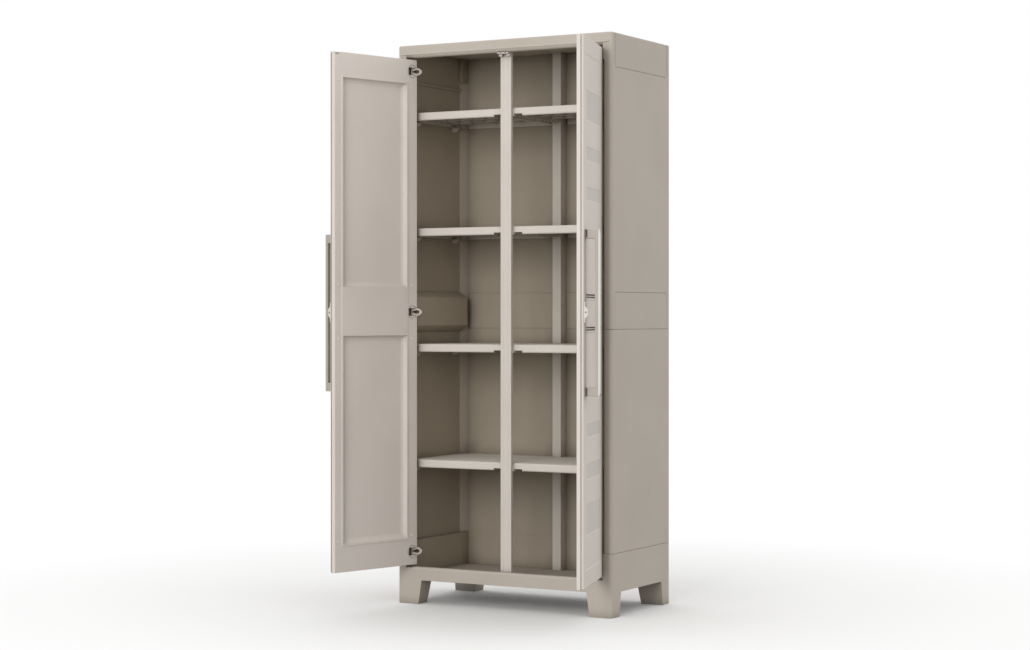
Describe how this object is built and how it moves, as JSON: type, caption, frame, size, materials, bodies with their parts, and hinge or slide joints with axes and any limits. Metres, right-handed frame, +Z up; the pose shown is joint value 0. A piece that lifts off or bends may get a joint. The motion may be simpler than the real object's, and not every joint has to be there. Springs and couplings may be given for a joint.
{
  "type": "garden storage cabinet",
  "caption": "Tall two-door resin garden cabinet with full-width shelves, a centre post, bar handles and short feet.",
  "frame": {"origin": "on the floor, under the middle of the carcass (half its width and half its depth)", "axes": "+X to the right seen from the front, +Y to the back, +Z up"},
  "size_m": [0.9746, 0.7447, 1.82],
  "materials": {
    "carcass_resin": "fine moulded grain, taupe beige polypropylene",
    "door_resin": "fine moulded grain, light sand polypropylene",
    "shelf_resin": "satin moulded, light sand polypropylene",
    "hinge_resin": "satin moulded polypropylene",
    "shell_caps": "satin moulded polypropylene",
    "zinc_steel": "zinc plated"
  },
  "bodies": {
    "cabinet": {"back_panel_lower_left": "carcass_resin", "back_panel_lower_right": "carcass_resin", "back_panel_upper_left": "carcass_resin", "back_panel_upper_right": "carcass_resin", "base_unit": "carcass_resin", "front_post": "shelf_resin", "hinge_arm_bottom_left": "hinge_resin", "hinge_arm_bottom_right": "hinge_resin", "hinge_arm_middle_left": "hinge_resin", "hinge_arm_middle_right": "hinge_resin", "hinge_arm_screws_left": "zinc_steel", "hinge_arm_screws_right": "zinc_steel", "hinge_arm_top_left": "hinge_resin", "hinge_arm_top_right": "hinge_resin", "rear_post": "carcass_resin", "shelf_1": "shelf_resin", "shelf_2": "shelf_resin", "shelf_3": "shelf_resin", "shelf_4": "shelf_resin", "shelf_beam_1": "shelf_resin", "shelf_beam_2": "shelf_resin", "shelf_beam_3": "shelf_resin", "shelf_beam_4": "shelf_resin", "shelf_ledges_left": "hinge_resin", "shelf_ledges_right": "hinge_resin", "side_panel_lower_left": "carcass_resin", "side_panel_lower_right": "carcass_resin", "side_panel_upper_left": "carcass_resin", "side_panel_upper_right": "carcass_resin", "top_unit": "carcass_resin"},
    "left_door": {"door_frame_screws_left": "shell_caps", "door_inner_shell_left": "door_resin", "door_outer_shell_left": "door_resin", "handle_left": "door_resin", "handle_screws_left": "zinc_steel", "hinge_cups_left": "hinge_resin", "hinge_pins_left": "zinc_steel", "lock_plate_left": "door_resin"},
    "right_door": {"door_frame_screws_right": "shell_caps", "door_inner_shell_right": "door_resin", "door_outer_shell_right": "door_resin", "handle_right": "door_resin", "handle_screws_right": "zinc_steel", "hinge_cups_right": "hinge_resin", "hinge_pins_right": "zinc_steel", "lock_plate_right": "door_resin"}
  },
  "joints": [
    {"name": "left_door_hinge", "type": "hinge", "parent": "cabinet", "child": "left_door", "pos_m": [-0.345, -0.2, 0.951], "axis": [0, 0, 1], "range_deg": [-5, 105]},
    {"name": "right_door_hinge", "type": "hinge", "parent": "cabinet", "child": "right_door", "pos_m": [0.345, -0.2, 0.951], "axis": [0, 0, -1], "range_deg": [-2.5, 107.5]}
  ]
}
